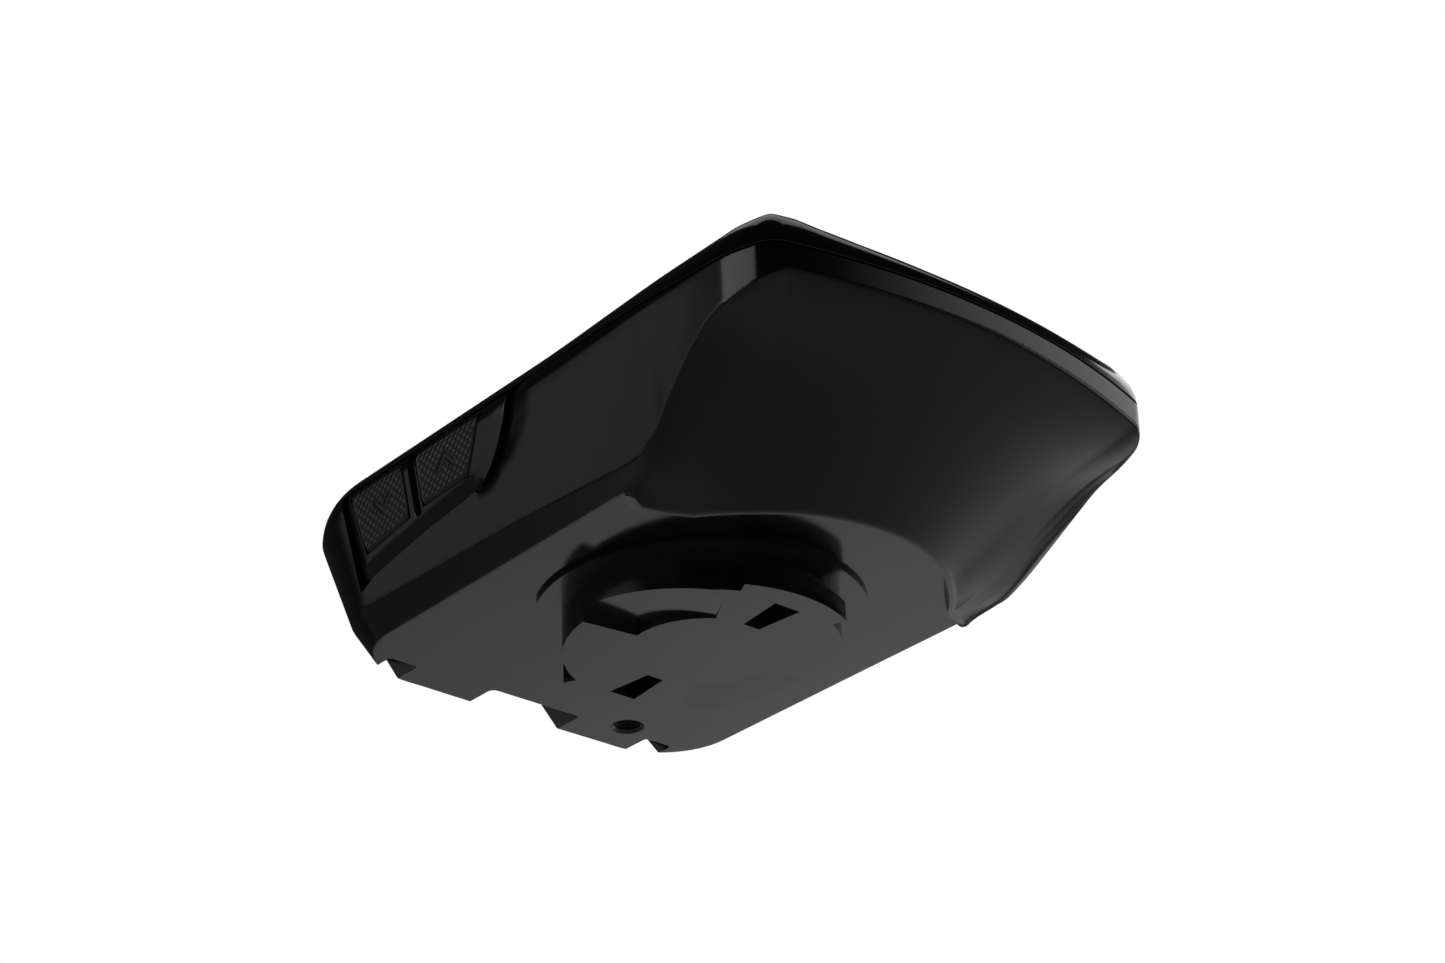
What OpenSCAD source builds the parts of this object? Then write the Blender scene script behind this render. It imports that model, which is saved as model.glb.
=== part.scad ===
// Compact cycling computer on a quarter-turn mount boss. Units: mm.
// Origin: mount axis in the lower face of the boss. +X rider's right, +Y nose, +Z screen.

/* [Body] */
// overall height from the boss's lower face to the top of the screen
top_z = 22.1; // [21:0.1:24]
// half width of the housing at the seam
half_w = 22.9; // [22:0.1:24]
// nose tip, in front of the mount axis
nose_y = 38.4; // [37:0.1:40]
// rear end of the housing, behind the mount axis
rear_y = -36.2; // [-38:0.1:-35]
// height of the flat bottom above the boss's lower face
floor_z = 3.9; // [3.5:0.1:4.4]
// height of the seam along the sides
seam_z = 18.9; // [18:0.1:19.5]
// how far the seam drops towards the nose tip
seam_drop = 1.7; // [0.8:0.1:2.2]
// wall thickness of both housings
wall = 1.4; // [1.2:0.1:1.7]
// depth of the lip that trails the nose
lip_drop = 2.0; // [1:0.1:2.5]
// rear face's lean, degrees from upright
rear_lean = 28; // [20:1:32]
// nose underside's lean, degrees above level
nose_lean = 43; // [38:1:48]

/* [Screen] */
// half width of the window
window_w = 16.8; // [16:0.1:17]
// window's rear edge
window_y0 = -21.5; // [-23:0.1:-20]
// window's front edge
window_y1 = 25; // [22:0.1:26]
// thickness of the lens
lens_t = 1.4; // [1:0.1:1.6]

/* [Quarter-turn mount] */
// radius of the boss's hub
hub_r = 12.6; // [12:0.05:13]
// radius over the two lugs
lug_r = 13.9; // [13.5:0.05:14.2]
// half angle of each lug
lug_half = 25.5; // [22:0.5:30]
// thickness of the lugs
lug_t = 1.9; // [1.5:0.1:2.2]
// radius of the thin base flange
flange_r = 15.2; // [14.5:0.1:15.5]
// depth of the ramp pockets at their deep end
ramp_depth = 1.2; // [0.6:0.1:1.5]
// radius of the security screw's hole
insert_r = 1.25; // [1:0.05:1.5]

/* [Buttons] */
// travel of the side buttons
side_travel = 0.5; // [0.3:0.05:0.6]
// travel of the face buttons
face_travel = 0.6; // [0.3:0.05:0.7]
// running gap round each button
btn_gap = 0.25; // [0.2:0.01:0.35]
// how far the side buttons stand out
btn_out = 0.65; // [0.4:0.05:0.9]

/* [Hidden] */
$fn = 96;

e = 0.01;
big = 200;
front_R = 100;
front_corner = 5;
rear_corner = 15;
inner_z = floor_z + wall;
pcb_z = 14.4;
pcb_t = 0.8;
lens_z = top_z - 0.05 - lens_t;
band_z = floor_z + 10.8;
slot_in = 6.6;
slot_out = 11.4;
insert_x = -10.5;
insert_y = -23.3;
face_btn_x = [-13, 0, 13];
face_btn_y = -28.2;
face_btn_w = 9.6;
face_btn_l = 5.6;
pwr_y = -8;
pwr_z = 14.4;

// ---------- shared outlines ----------

// points along an arc, n steps from angle a0 to a1
function arc(cx, cy, r, a0, a1, n) = [for (i = [0:n]) let (a = a0 + (a1 - a0) * i / n) [cx + r * cos(a), cy + r * sin(a)]];

// plan of the housing, t inside the outer wall
module plan(t = 0) {
    w = half_w - t;
    rf = front_corner - min(t, 3);
    rr = rear_corner - t;
    ry = rear_y + t;
    R = front_R - t;
    fy = nose_y - front_R;
    cy = fy + sqrt(pow(R - rf, 2) - pow(w - rf, 2));
    ha = asin((w - rf) / (R - rf));
    polygon(concat(
        arc(w - rf, cy, rf, 0, 90 - ha, 6),
        arc(0, fy, R, 90 - ha * 0.8, 90 + ha * 0.8, 8),
        arc(-(w - rf), cy, rf, 90 + ha, 180, 6),
        arc(-(w - rr), ry + rr, rr, 180, 270, 10),
        arc(w - rr, ry + rr, rr, 270, 360, 10)));
}

// end view of the housing: lip, bottom chamfer, drafted side, rounded top edge
module end_profile(t = 0) {
    rx = 4.5 - min(t, 2.5);
    rz = 5 - min(t, 2.5);
    pts_half = concat(
        [[11 - t, floor_z - lip_drop + t], [20.2 - t, floor_z + t * 0.8],
         [21.9 - t, floor_z + 2.2 + t * 0.4]],
        [for (a = [0:11.25:90]) [half_w - t - rx * (1 - cos(a)), top_z - t - rz * (1 - sin(a))]]);
    polygon(concat(pts_half, [for (i = [len(pts_half) - 1:-1:0]) [-pts_half[i][0], pts_half[i][1]]]));
}

// side view: nose tip, rounded top front and rear edges
module side_profile(t = 0) {
    z0 = floor_z - lip_drop + t;
    zt = top_z - t;
    ry = 9 - min(t, 2.5);
    rz = 5 - min(t, 2.5);
    r = 4 - min(t, 2.5);
    polygon(concat(
        [[rear_y + t, z0], [nose_y - t, z0]],
        [for (a = [0:10:90]) [nose_y - t - ry * (1 - cos(a)), zt - rz * (1 - sin(a))]],
        [for (a = [90:-15:0]) [rear_y + t + r * (1 - cos(a)), zt - r * (1 - sin(a))]]));
}

module along_x(w) {
    rotate([90, 0, 90]) linear_extrude(height = w, center = true) children();
}

module along_y(l) {
    rotate([90, 0, 0]) linear_extrude(height = l, center = true) children();
}

// leaning prism that gives the rear face and its corners
module rear_limit(t = 0) {
    r = 9 - t;
    w = half_w + 0.6 - t;
    translate([0, -27.9 + t, floor_z]) rotate([rear_lean, 0, 0]) translate([0, 0, -40])
        linear_extrude(height = 90)
            polygon(concat([[w, 90], [-w, 90]], arc(-(w - r), r, r, 180, 270, 7), arc(w - r, r, r, 270, 360, 7)));
}

// leaning drum that gives the nose's curved underside
module nose_limit(t = 0) {
    r = 42 - 0.3 * t;
    translate([0, nose_y - t, band_z]) rotate([-(90 - nose_lean), 0, 0]) translate([0, -r, -60])
        linear_extrude(height = 160)
            polygon(concat([[r * cos(45), -90]], arc(0, 0, r, 45, 135, 24), [[-r * cos(45), -90]]));
}

// the whole outer form, t inside its surface
module housing(t = 0) {
    intersection() {
        translate([0, 0, -1]) linear_extrude(height = 40) plan(t);
        along_y(big) end_profile(t);
        along_x(big) side_profile(t);
        rear_limit(t);
        union() {
            nose_limit(t);
            translate([-40, -60, band_z + t]) cube([80, 120, 30]);
        }
    }
}

// everything above the seam, raised by dz
module above_seam(dz = 0) {
    along_x(big) polygon([
        [-60, seam_z + dz], [8, seam_z + dz], [nose_y, seam_z - seam_drop + dz],
        [60, seam_z - seam_drop - 1 + dz], [60, 60], [-60, 60]]);
}

// everything behind the lip's arched edge under the nose
module behind_lip() {
    polygon(concat(
        [[40, -60], [40, 10], [20.2, 14.2], [16.6, 15.5]],
        arc(0, 6.8, 17.4, 33, 147, 24),
        [[-16.6, 15.5], [-20.2, 14.2], [-40, 10], [-40, -60]]));
}

// ---------- housings ----------

// side openings of the right-hand button panel, grown by g
module panel_shape(g = 0) {
    polygon([[-24.2 - g, 18.6 + g], [0.9 + g, 18.6 + g], [0.6 + g, 15.8], [-0.3 + g, 13.7],
             [-1.3 + g, 11.9], [-2.6 + g, 10.7 - g], [-12, 10.0 - g], [-19.6, 8.8 - g], [-21.9 - g, 7.8 - g]]);
}

module up_shape(g = 0) {
    polygon([[-12.5 - g, 18.0 + g], [-2.9 + g, 18.0 + g], [-4.8 + g, 12.8 - g], [-11.7 - g, 12.6 - g]]);
}

module down_shape(g = 0) {
    polygon([[-22.3 - g, 18.0 + g], [-14.5 + g, 18.0 + g], [-13.7 + g, 12.4 - g], [-20.3 - g, 11.6 - g]]);
}

// rounded slot seen from the side, for the power button
module power_shape(g = 0) {
    for (s = [-1, 1]) translate([pwr_y + s * 3, pwr_z]) circle(r = 1.9 + g);
    translate([pwr_y - 3, pwr_z - 1.9 - g]) square([6, 3.8 + 2 * g]);
}

module out_x(x0, x1) {
    translate([x0, 0, 0]) rotate([90, 0, 90]) linear_extrude(height = x1 - x0) children();
}

// frame of the rear wall: origin on its lower edge, z up the slope
module on_rear() {
    translate([0, -27.9, floor_z]) rotate([rear_lean, 0, 0]) children();
}

module rear_notches(g = 0) {
    translate([-5.3 - g, -40, -1]) cube([10.6 + 2 * g, 15.8 + g, floor_z + 4.2 + g]);
    for (s = [-1, 1])
        translate([s * 15.4 - 1.6 - g, -40, -1]) cube([3.2 + 2 * g, 15.6 + g, floor_z + 2.6 + g]);
}

// four posts that carry the main board
module board_posts(r, z0, z1) {
    for (p = [[-16.2, -19.5], [14.2, -22.8], [-16.2, 23.4], [16.2, 23.4]])
        translate([p[0], p[1], z0]) cylinder(r = r, h = z1 - z0, $fn = 48);
}

module shell_cavity() {
    difference() {
        housing(wall);
        translate([-60, -60, -10]) cube([120, 120, inner_z + 10]);
        rear_notches(wall);
        translate([insert_x, insert_y, 0]) cylinder(r = 3.4, h = inner_z + 3.6);
        board_posts(1.9, 0, pcb_z);
    }
}

module back_shell() {
    color("#232426") difference() {
        housing(0);
        above_seam(0);
        shell_cavity();
        translate([0, 0, -5]) linear_extrude(height = 5 + floor_z) behind_lip();
        rear_notches();
        translate([0, 0, floor_z - e]) cylinder(r = 9.2, h = 0.6);
        translate([insert_x, insert_y, -1]) cylinder(r = 2.4, h = floor_z + 1 + 3.7);
        out_x(20.4, 30) panel_shape(0.06);
        out_x(19, 21) { up_shape(btn_gap); down_shape(btn_gap); }
        out_x(-30, -19) power_shape(btn_gap);
        on_rear() translate([-6.1, -3, 7.0]) cube([12.2, 3.95, 6.3]);
        translate([-4.6, -40, 11.1]) cube([9.2, 11, 3.4]);
        board_posts(0.8, pcb_z - 5, seam_z);
        for (a = [90, 210, 330]) rotate(a) translate([5, 0, floor_z - 1]) cylinder(r = 1.1, h = 4, $fn = 48);
        translate([13.5, 10, floor_z - 1]) cylinder(r = 0.6, h = 3, $fn = 32);
    }
}

module face_openings(g) {
    for (x = face_btn_x)
        translate([x, face_btn_y, 14]) linear_extrude(height = 12) face_button_shape(g);
}

module face_button_shape(g = 0) {
    r = 2.2;
    for (sx = [-1, 1], sy = [-1, 1])
        translate([sx * (face_btn_w / 2 - r), sy * (face_btn_l / 2 - r)]) circle(r = r + g, $fn = 64);
    square([face_btn_w - 2 * r, face_btn_l + 2 * g], center = true);
    square([face_btn_w + 2 * g, face_btn_l - 2 * r], center = true);
}

module window_shape(g = 0) {
    r = 2;
    for (x = [-window_w + r, window_w - r], y = [window_y0 + r, window_y1 - r])
        translate([x, y]) circle(r = r + g, $fn = 64);
    translate([-window_w + r, window_y0 - g]) square([2 * (window_w - r), window_y1 - window_y0 + 2 * g]);
    translate([-window_w - g, window_y0 + r]) square([2 * (window_w + g), window_y1 - window_y0 - 2 * r]);
}

module light_bar_shape(g = 0) {
    translate([-13, 27.4 - g]) square([26, 1.6 + 2 * g]);
    for (s = [-1, 1]) translate([s * 13, 28.2]) circle(r = 0.8 + g, $fn = 48);
}

module top_bezel() {
    color("#141517") difference() {
        intersection() {
            housing(0);
            above_seam(0);
        }
        intersection() {
            housing(wall + 0.3);
            translate([-60, -60, 0]) cube([120, 120, top_z - 2.1]);
        }
        translate([0, 0, 14]) linear_extrude(height = 12) window_shape(0);
        translate([0, 0, lens_z]) linear_extrude(height = 12) window_shape(1.4);
        translate([0, 0, 14]) linear_extrude(height = 12) light_bar_shape(0);
        face_openings(btn_gap);
    }
}

module seal_gasket() {
    color("#3a3b3d") difference() {
        intersection() {
            housing(wall + 0.1);
            translate([-50, -60, seam_z - seam_drop - 0.8]) cube([100, 120, 0.6]);
        }
        housing(wall + 0.9);
        out_x(18, 30) panel_shape(0.3);
        out_x(-30, -18) power_shape(0.6);
    }
}

module side_button_panel() {
    color("#1e1f21") difference() {
        intersection() {
            out_x(20.45, half_w + 0.25) panel_shape(0);
            linear_extrude(height = 40) plan(-0.2);
        }
        out_x(19, 30) up_shape(btn_gap);
        out_x(19, 30) down_shape(btn_gap);
    }
}

// ---------- screen ----------

module display_lens() {
    color("#0c0f12") translate([0, 0, lens_z]) linear_extrude(height = lens_t) window_shape(1.35);
}

module lcd_panel() {
    color("#6d7a70") translate([-16.5, window_y0 + 0.5, 18.2]) cube([33, window_y1 - window_y0 - 1, 1.7]);
}

module display_frame() {
    y0 = window_y0 - 0.4;
    l = window_y1 - window_y0 + 0.8;
    color("#c9ccce") difference() {
        translate([-17.4, y0, 16.9]) cube([34.8, l, 2.6]);
        translate([-16.6, y0 + 0.8, 18.15]) cube([33.2, l - 1.6, 4]);
    }
}

module status_light_bar() {
    color("#d8dbe0") {
        translate([0, 0, lens_z - 1]) linear_extrude(height = top_z - lens_z + 0.9) light_bar_shape(-0.03);
        translate([-14.5, 26.9, lens_z - 2.2]) cube([29, 2.6, 1.3]);
    }
}

module display_flex() {
    color("#a9651f") {
        translate([-6, window_y0 - 1.3, 15.3]) cube([12, 0.15, 3.6]);
        translate([-6, window_y0 - 1.3, 18.75]) cube([12, 0.9, 0.15]);
        translate([-6, window_y0 - 1.3, 15.2]) cube([12, 4, 0.15]);
    }
}

// ---------- quarter-turn boss ----------

module sector(r, a0, a1) {
    n = 12;
    polygon(concat([[0, 0]], [for (i = [0:n]) let (a = a0 + (a1 - a0) * i / n) [2 * r * sin(a), 2 * r * cos(a)]]));
}

module pie(r, a0, a1) {
    intersection() {
        circle(r = r);
        sector(r, a0, a1);
    }
}

module lug_slot() {
    polygon([[-0.9, slot_in], [0.9, slot_in], [1.44, slot_out], [-1.44, slot_out]]);
}

// annular pocket whose floor runs out to the lower face at angle 31
module ramp_pocket() {
    slope = atan(ramp_depth / (hub_r * sin(97 - 31)));
    intersection() {
        translate([0, 0, -1]) linear_extrude(height = 4) difference() {
            pie(16, 31, 97);
            circle(r = 7);
        }
        rotate(-31) rotate([0, -slope, 0]) translate([-50, -50, -100]) cube(100);
    }
}

module quarter_turn_boss() {
    color("#1b1c1e") difference() {
        union() {
            cylinder(r = hub_r, h = floor_z);
            for (s = [0, 180]) rotate(s) linear_extrude(height = lug_t) pie(lug_r, -lug_half, lug_half);
            translate([0, 0, floor_z - 0.45]) linear_extrude(height = 0.45) pie(flange_r, -38.5, 107);
        }
        for (s = [0, 180]) rotate(s) {
            translate([0, 0, -1]) linear_extrude(height = 1 + 2.2) lug_slot();
            ramp_pocket();
        }
        for (a = [90, 210, 330]) rotate(a) translate([5, 0, 1.2]) cylinder(r = 0.8, h = 4, $fn = 48);
    }
    color("#1b1c1e") difference() {
        translate([0, 0, floor_z - e]) cylinder(r = 9.1, h = 0.55);
        for (a = [90, 210, 330]) rotate(a) translate([5, 0, 1.2]) cylinder(r = 0.8, h = 4, $fn = 48);
    }
}

module boss_screws() {
    color("#9a9da0") for (a = [90, 210, 330]) rotate(a) translate([5, 0, 0]) difference() {
        union() {
            translate([0, 0, 1.6]) cylinder(r = 0.78, h = inner_z - 1.6, $fn = 48);
            translate([0, 0, inner_z]) cylinder(r = 1.7, h = 1.0, $fn = 48);
        }
        translate([0, 0, inner_z + 0.5]) cylinder(r = 0.75, h = 1, $fn = 6);
    }
}

module security_screw_insert() {
    color("#b38a3e") translate([insert_x, insert_y, floor_z]) difference() {
        cylinder(r = 2.38, h = 3.6, $fn = 64);
        translate([0, 0, -1]) cylinder(r = insert_r, h = 4.2, $fn = 64);
        translate([0, 0, -e]) cylinder(r1 = insert_r + 0.4, r2 = insert_r, h = 0.4, $fn = 64);
    }
}

// ---------- electronics ----------

module main_board() {
    color("#1d5a34") difference() {
        union() {
            translate([-19.4, -19, pcb_z]) cube([38.8, 45.8, pcb_t]);
            translate([-15.5, -29.2, pcb_z]) cube([31, 12, pcb_t]);
            translate([-12, 26, pcb_z]) cube([24, 5, pcb_t]);
        }
        board_posts(0.95, pcb_z - 1, pcb_z + 3);
    }
}

module battery() {
    color("#8f979c") {
        translate([-15.5, -16.8, 6.9]) cube([31, 37.6, 5.2]);
        translate([-11, 20.8, 8.2]) cube([22, 1.6, 2.6]);
    }
}

module gps_antenna() {
    color("#c9b48a") difference() {
        translate([-6.5, 17, pcb_z + pcb_t]) cube([13, 10, 1.5]);
        translate([0, 22, pcb_z + pcb_t - 1]) cylinder(r = 0.5, h = 6, $fn = 32);
    }
}

module buzzer() {
    color("#2a2a2c") translate([9.5, 13, pcb_z - 1.9]) difference() {
        cylinder(r = 4.2, h = 1.9, $fn = 64);
        translate([0, 0, -e]) cylinder(r = 0.6, h = 0.8, $fn = 32);
    }
}

module pressure_vent() {
    color("#e6e6e2") translate([13.5, 10, inner_z]) difference() {
        cylinder(r = 1.8, h = 0.5, $fn = 48);
        translate([0, 0, 0.3]) cylinder(r = 1.2, h = 1, $fn = 48);
    }
}

module usb_socket() {
    color("#b9bcbe") translate([0, -25.2, pcb_z - 2.9]) difference() {
        translate([-3.9, -5.1, 0]) cube([7.8, 7.4, 2.85]);
        translate([-3.5, -6, 0.35]) cube([7.0, 6.6, 2.1]);
    }
    color("#2b2b2b") translate([-2.4, -29.6, pcb_z - 1.65]) cube([4.8, 5.1, 0.5]);
}

// rubber cover over the port, turning on the barrel along its lower edge
module usb_flap() {
    color("#19191b") on_rear() difference() {
        union() {
            translate([-5.8, 0.05, 7.6]) cube([11.6, 0.75, 5.4]);
            translate([-5.8, 0.425, 7.6]) rotate([0, 90, 0]) cylinder(r = 0.36, h = 11.6, $fn = 32);
            translate([-4.1, 0.7, 9.3]) cube([8.2, 0.9, 1.6]);
        }
        translate([-3, -1, 12.1]) cube([6, 1.3, 1.5]);
    }
}

module tact_switch(l) {
    translate([-l / 2, -1.4, 0]) cube([l, 2.8, 1.5]);
    translate([0, 0, 1.5 - e]) cylinder(r = 0.8, h = 0.5, $fn = 32);
}

module side_switches() {
    color("#b6b9bb") {
        for (y = [-17.2, -8.0]) translate([18.1, y, pcb_z + pcb_t + 1.4]) rotate([0, 90, 0]) rotate(90) tact_switch(4.6);
        translate([-18.1, pwr_y, pcb_z + pcb_t + 1.4]) rotate([0, -90, 0]) rotate(90) tact_switch(4.6);
    }
}

module face_switches() {
    color("#b6b9bb") for (x = face_btn_x)
        translate([x * 0.95, face_btn_y + 0.8, pcb_z + pcb_t]) tact_switch(3.6);
}

module face_button_pad() {
    color("#3b3c3f") difference() {
        translate([-16.5, face_btn_y - 2.2, 17.6]) cube([33, 5.2, 0.4]);
        translate([-8.4, face_btn_y - 3, 17]) cube([3.4, 1.6, 2]);
        translate([5, face_btn_y - 3, 17]) cube([3.4, 1.6, 2]);
    }
}

// ---------- buttons ----------

module face_button(x) {
    color("#1a1b1d") translate([x, face_btn_y, 0]) {
        translate([0, 0, 18.7]) linear_extrude(height = top_z - 18.7) face_button_shape(0);
    }
}

module face_button_left() {
    face_button(face_btn_x[0]);
}

module face_button_middle() {
    face_button(face_btn_x[1]);
}

module face_button_right() {
    face_button(face_btn_x[2]);
}

module chevron(y, z, dir) {
    out_x(half_w + btn_out - 0.25, 30) polygon([
        [y - 1.1, z - 0.55 * dir], [y, z + 0.55 * dir], [y + 1.1, z - 0.55 * dir],
        [y + 1.1, z - 0.05 * dir], [y, z + 1.05 * dir], [y - 1.1, z - 0.05 * dir]]);
}

module up_button() {
    color("#27282a") difference() {
        out_x(20.7, half_w + btn_out) up_shape(0);
        chevron(-8, 15.2, 1);
    }
}

module down_button() {
    color("#27282a") difference() {
        out_x(20.7, half_w + btn_out) down_shape(0);
        chevron(-17.6, 15.2, -1);
    }
}

module power_button() {
    color("#27282a") out_x(-half_w - btn_out, -20.7) power_shape(0);
}

module board_screws() {
    color("#8b8e91") difference() {
        union() {
            board_posts(0.78, pcb_z - 4.5, pcb_z + pcb_t + 0.1);
            board_posts(1.5, pcb_z + pcb_t, pcb_z + pcb_t + 0.8);
        }
        board_posts(0.3, pcb_z + pcb_t + 0.4, pcb_z + 4);
    }
}

back_shell();
top_bezel();
display_lens();
lcd_panel();
display_frame();
status_light_bar();
seal_gasket();
quarter_turn_boss();
boss_screws();
security_screw_insert();
main_board();
battery();
gps_antenna();
buzzer();
pressure_vent();
usb_socket();
usb_flap();
face_button_left();
face_button_middle();
face_button_right();
up_button();
down_button();
power_button();
side_button_panel();
side_switches();
face_switches();
face_button_pad();
display_flex();
board_screws();
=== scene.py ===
import math

import bmesh
import bpy
import numpy as np
from mathutils import Matrix, Vector


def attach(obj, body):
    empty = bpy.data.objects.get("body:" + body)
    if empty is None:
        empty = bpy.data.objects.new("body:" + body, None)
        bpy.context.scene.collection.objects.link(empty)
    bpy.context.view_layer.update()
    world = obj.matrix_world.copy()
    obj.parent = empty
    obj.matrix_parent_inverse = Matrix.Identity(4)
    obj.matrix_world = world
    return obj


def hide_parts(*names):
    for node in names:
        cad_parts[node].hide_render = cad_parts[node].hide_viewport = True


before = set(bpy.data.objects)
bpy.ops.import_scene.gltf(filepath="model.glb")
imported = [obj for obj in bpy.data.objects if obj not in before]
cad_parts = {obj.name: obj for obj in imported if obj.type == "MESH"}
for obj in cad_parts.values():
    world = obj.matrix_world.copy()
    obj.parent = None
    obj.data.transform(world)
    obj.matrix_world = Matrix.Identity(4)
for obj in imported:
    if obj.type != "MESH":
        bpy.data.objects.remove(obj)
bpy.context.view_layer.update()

MM = 0.001
FLOOR = 3.9          # flat bottom above the boss's lower face, mm
TOP = 22.1
HALF = 22.9
NOSE = 38.4
REAR = -36.03
BELT = 17.1          # height where the top edges start to round over
NOSE_R = 78.0        # plan radius of the nose
FRONT_HALF = 23.45   # half width at the front, where the sides have spread
EASE_R = 12.0        # first, wide part of each front corner
EASE_TURN = 20.0     # degrees it turns
FRONT_R = 3.0        # rest of the front corner
REAR_R = 12.5        # plan radius of the rear corners
SIDE_ROUND = 5.1     # how far the sides curve in between BELT and TOP


# ---------------------------------------------------------------- camera
def set_camera():
    az, el, roll = map(math.radians, (137.913, -28.702, -2.236))
    back = np.array([math.sin(az) * math.cos(el), -math.cos(az) * math.cos(el), math.sin(el)])
    target = np.array([-23.371, -22.312, 35.076])
    xc = np.cross([0, 0, 1], back)
    xc /= np.linalg.norm(xc)
    yc = np.cross(back, xc)
    xr = math.cos(roll) * xc + math.sin(roll) * yc
    yr = -math.sin(roll) * xc + math.cos(roll) * yc
    loc = (target + back * 314.539) * MM
    m = Matrix.Identity(4)
    for i in range(3):
        m[i][0], m[i][1], m[i][2], m[i][3] = xr[i], yr[i], back[i], loc[i]
    data = bpy.data.cameras.new("camera")
    data.sensor_width = 36.0
    data.lens = 3000.0 / 1445.0 * 36.0
    data.clip_start = 0.005
    cam = bpy.data.objects.new("camera", data)
    cam.matrix_world = m
    bpy.context.scene.collection.objects.link(cam)
    bpy.context.scene.camera = cam


set_camera()


# ---------------------------------------------------------------- mesh helpers
def mesh_object(name, verts, faces, angle=32.0):
    me = bpy.data.meshes.new(name)
    me.from_pydata([[c * MM for c in v] for v in verts], [], [list(f) for f in faces])
    bm = bmesh.new()
    bm.from_mesh(me)
    bmesh.ops.remove_doubles(bm, verts=bm.verts, dist=1e-7)
    bmesh.ops.dissolve_degenerate(bm, edges=bm.edges, dist=1e-7)
    bmesh.ops.recalc_face_normals(bm, faces=bm.faces)
    bm.to_mesh(me)
    bm.free()
    ob = bpy.data.objects.new(name, me)
    bpy.context.scene.collection.objects.link(ob)
    smooth(ob, angle)
    return ob


def smooth(ob, angle=32.0):
    for p in ob.data.polygons:
        p.use_smooth = True
    ob.data.set_sharp_from_angle(angle=math.radians(angle))


def apply_mods(ob):
    bpy.context.view_layer.update()
    dg = bpy.context.evaluated_depsgraph_get()
    me = bpy.data.meshes.new_from_object(ob.evaluated_get(dg))
    old = ob.data
    ob.modifiers.clear()
    ob.data = me
    bpy.data.meshes.remove(old)


def cut(ob, cutters, op="DIFFERENCE", angle=32.0):
    for c in cutters:
        m = ob.modifiers.new("cut", "BOOLEAN")
        m.operation = op
        m.solver = "EXACT"
        m.object = c
        apply_mods(ob)
    for c in cutters:
        bpy.data.objects.remove(c, do_unlink=True)
    smooth(ob, angle)
    return ob


def bevel(ob, width, segments=2, angle=30.0, smooth_angle=40.0):
    m = ob.modifiers.new("bevel", "BEVEL")
    m.width = width * MM
    m.segments = segments
    m.limit_method = "ANGLE"
    m.angle_limit = math.radians(angle)
    m.use_clamp_overlap = True
    m.miter_outer = "MITER_ARC"
    apply_mods(ob)
    smooth(ob, smooth_angle)
    return ob


def grid_faces(rows, cols, wrap=False, base=0):
    out = []
    last = cols if wrap else cols - 1
    for r in range(rows - 1):
        for c in range(last):
            d = (c + 1) % cols
            out.append((base + r * cols + c, base + r * cols + d, base + (r + 1) * cols + d, base + (r + 1) * cols + c))
    return out


def arc(cx, cy, r, a0, a1, n):
    t = np.radians(np.linspace(a0, a1, n + 1))
    return [(cx + r * math.cos(a), cy + r * math.sin(a)) for a in t]


def rounded(pts, r, n=6):
    """closed outline with each corner rounded to radius r"""
    out = []
    k = len(pts)
    for i in range(k):
        p = np.array(pts[i], float)
        a = np.array(pts[i - 1], float) - p
        b = np.array(pts[(i + 1) % k], float) - p
        la, lb = np.linalg.norm(a), np.linalg.norm(b)
        a, b = a / la, b / lb
        half = math.acos(max(-1, min(1, float(a @ b)))) / 2
        d = min(r / math.tan(half), la * 0.45, lb * 0.45)
        rr = d * math.tan(half)
        c = p + (a + b) / np.linalg.norm(a + b) * rr / math.sin(half)
        s, e = p + a * d - c, p + b * d - c
        a0, a1 = math.atan2(s[1], s[0]), math.atan2(e[1], e[0])
        da = (a1 - a0 + math.pi) % (2 * math.pi) - math.pi
        for j in range(n + 1):
            t = a0 + da * j / n
            out.append((c[0] + rr * math.cos(t), c[1] + rr * math.sin(t)))
    return out


def prism(name, outline, lo, hi, axis="z", angle=32.0, matrix=None):
    """outline in the plane across axis (x: y,z; y: x,z; z: x,y), from lo to hi along it"""
    put = {"x": lambda u, v, w: (w, u, v), "y": lambda u, v, w: (u, w, v), "z": lambda u, v, w: (u, v, w)}[axis]
    n = len(outline)
    verts = [put(u, v, lo) for u, v in outline] + [put(u, v, hi) for u, v in outline]
    faces = [tuple(range(n)), tuple(range(2 * n - 1, n - 1, -1))]
    faces += [(i, (i + 1) % n, n + (i + 1) % n, n + i) for i in range(n)]
    if matrix is not None:
        verts = [tuple((matrix @ Vector(v))[:3]) for v in verts]
    return mesh_object(name, verts, faces, angle)


def disc(name, x, y, r, z0, z1, n=96, r1=None):
    r1 = r if r1 is None else r1
    verts = [(x + r * math.cos(2 * math.pi * i / n), y + r * math.sin(2 * math.pi * i / n), z0) for i in range(n)]
    verts += [(x + r1 * math.cos(2 * math.pi * i / n), y + r1 * math.sin(2 * math.pi * i / n), z1) for i in range(n)]
    faces = [tuple(range(n)), tuple(range(2 * n - 1, n - 1, -1))]
    faces += [(i, (i + 1) % n, n + (i + 1) % n, n + i) for i in range(n)]
    return mesh_object(name, verts, faces)


# ---------------------------------------------------------------- materials
def new_mat(name):
    m = bpy.data.materials.new(name)
    m.use_nodes = True
    nt = m.node_tree
    bsdf = nt.nodes["Principled BSDF"]
    return m, nt, bsdf


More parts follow.
